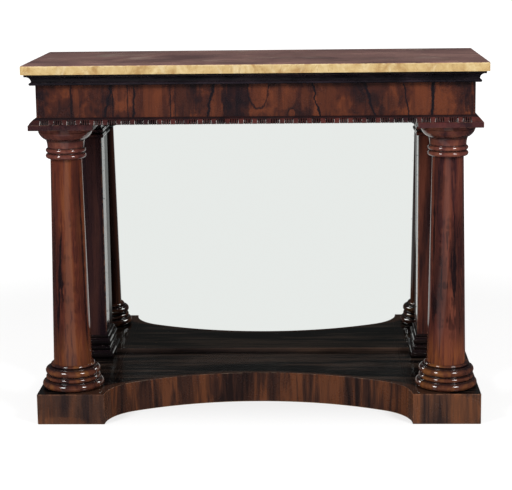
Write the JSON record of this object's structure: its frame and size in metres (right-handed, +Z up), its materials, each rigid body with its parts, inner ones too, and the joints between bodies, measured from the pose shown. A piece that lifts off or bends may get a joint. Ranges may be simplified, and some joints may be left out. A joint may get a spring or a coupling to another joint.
{
  "type": "pier table",
  "caption": "Marble-topped rosewood pier table with turned front columns, a mirrored back between pilasters and a plinth with a hollow-curved front.",
  "frame": {"origin": "on the floor, midway between the ends and midway between the slab's front and back edges", "axes": "+X along the table to the viewer's right, +Y from front to back, +Z up"},
  "size_m": [1.146, 0.445, 0.9155],
  "materials": {
    "marble": "polished",
    "ebonised_wood": "polished",
    "rosewood": "polished",
    "rosewood_veneer": "polished",
    "pine": "bare",
    "mirror_glass": "silvered",
    "iron": "dull"
  },
  "bodies": {
    "carcase": {"cornice_front": "ebonised_wood", "cornice_right": "ebonised_wood", "cornice_left": "ebonised_wood", "tablet_moulding_front": "rosewood", "tablet_moulding_right": "rosewood", "tablet_moulding_left": "rosewood", "mirror_sill": "rosewood", "platform_board": "rosewood", "right_abacus": "rosewood", "right_capital": "rosewood", "right_column_shaft": "rosewood", "right_column_base": "rosewood", "right_pilaster": "rosewood", "right_pilaster_base": "rosewood", "right_pilaster_capital": "rosewood", "left_abacus": "rosewood", "left_capital": "rosewood", "left_column_shaft": "rosewood", "left_column_base": "rosewood", "left_pilaster": "rosewood", "left_pilaster_base": "rosewood", "left_pilaster_capital": "rosewood", "frieze_front_veneer": "rosewood_veneer", "frieze_right_veneer": "rosewood_veneer", "frieze_left_veneer": "rosewood_veneer", "platform_front_veneer": "rosewood_veneer", "right_plinth_front_veneer": "rosewood_veneer", "right_plinth_side_veneer": "rosewood_veneer", "right_plinth_top_veneer": "rosewood_veneer", "left_plinth_front_veneer": "rosewood_veneer", "left_plinth_side_veneer": "rosewood_veneer", "left_plinth_top_veneer": "rosewood_veneer", "frieze_front_rail": "pine", "frieze_back_rail": "pine", "frieze_right_rail": "pine", "frieze_left_rail": "pine", "frieze_cross_rail": "pine", "frieze_soffit": "pine", "mirror_backboard": "pine", "platform_front_rail": "pine", "plinth_back_rail": "pine", "plinth_bearer": "pine", "plinth_glue_blocks": "pine", "right_column_block": "pine", "right_plinth_end": "pine", "left_column_block": "pine", "left_plinth_end": "pine", "mirror_plate": "mirror_glass", "backboard_screws": "iron"},
    "slab": {"marble_top": "marble"}
  },
  "joints": [
    {"name": "slab_lift", "type": "slide", "parent": "carcase", "child": "slab", "axis": [0, 0, 1], "range_m": [0, 0.1]}
  ]
}
